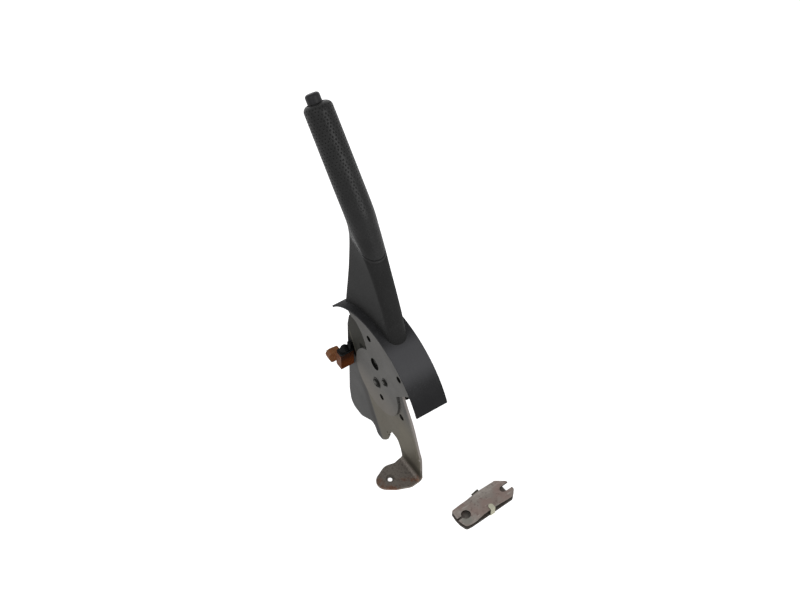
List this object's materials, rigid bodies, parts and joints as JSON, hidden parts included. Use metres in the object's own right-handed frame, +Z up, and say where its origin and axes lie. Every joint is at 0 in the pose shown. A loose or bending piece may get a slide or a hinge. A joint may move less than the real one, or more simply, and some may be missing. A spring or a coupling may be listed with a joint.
{
  "type": "parking brake lever",
  "caption": "Parking brake lever: toothed base plate with a bent bolt foot, riveted cheeks, arched slot cover, textured grip with release button and pawl, lamp switch, loose cable link.",
  "frame": {"origin": "centre of the foot's bolt hole, on the underside of the foot", "axes": "+X forward along the car, +Y to the left (the foot's and the switch's side), +Z up out of the foot"},
  "size_m": [0.3176, 0.1395, 0.4765],
  "materials": {
    "base_steel": "dull, stained at the foot",
    "cheek_steel": "dull plated",
    "rivet_steel": "dull",
    "link_steel": "brown-grey, lightly rusted",
    "zinc": "pale plated",
    "grip_black": "pebbled",
    "shroud_black": "smooth satin",
    "cover_black": "satin, rubbed",
    "button_black": "satin",
    "brown_plastic": "semi-matt"
  },
  "bodies": {
    "base": {"base_plate": "base_steel", "pivot_bush": "zinc", "switch_body": "brown_plastic", "switch_guide": "button_black", "switch_terminal": "zinc", "switch_screw": "rivet_steel", "link_upper_plate": "link_steel", "link_lower_plate": "link_steel", "link_clip": "zinc"},
    "plunger": {"switch_plunger": "button_black"},
    "lever": {"near_cheek": "cheek_steel", "far_cheek": "cheek_steel", "lever_arm": "base_steel", "pivot_rivet": "rivet_steel", "pivot_washer": "base_steel", "stop_rivet": "rivet_steel", "stop_washer": "base_steel", "arm_rivets": "rivet_steel", "arm_spacers": "base_steel", "pawl_pin": "rivet_steel", "shroud": "shroud_black", "slot_cover": "cover_black", "grip": "grip_black", "end_bush": "button_black", "spring_seat": "base_steel", "rod_spring": "zinc"},
    "button": {"button": "button_black", "release_rod": "rivet_steel"},
    "pawl": {"pawl": "rivet_steel"}
  },
  "joints": [
    {"name": "lever", "type": "hinge", "parent": "base", "child": "lever", "pos_m": [0.068, -0.04, 0.104], "axis": [0, -1, 0], "range_deg": [-52, 0]},
    {"name": "button", "type": "slide", "parent": "lever", "child": "button", "axis": [-0.6361, 0, -0.7716], "range_m": [-0.003, 0.0015], "stiffness_N_per_m": 400, "deforming": ["rod_spring"]},
    {"name": "pawl", "type": "hinge", "parent": "lever", "child": "pawl", "pos_m": [0.03706, -0.031, 0.19541], "axis": [0, 1, 0], "range_deg": [-8, 4]},
    {"name": "plunger", "type": "slide", "parent": "base", "child": "plunger", "axis": [0, 0, 1], "range_m": [-0.003, 0]}
  ],
  "couplings": [
    {"joint": "pawl", "follows": "button", "rad_per_m": 45.36},
    {"joint": "plunger", "follows": "lever", "m_per_rad": 0.0033}
  ]
}
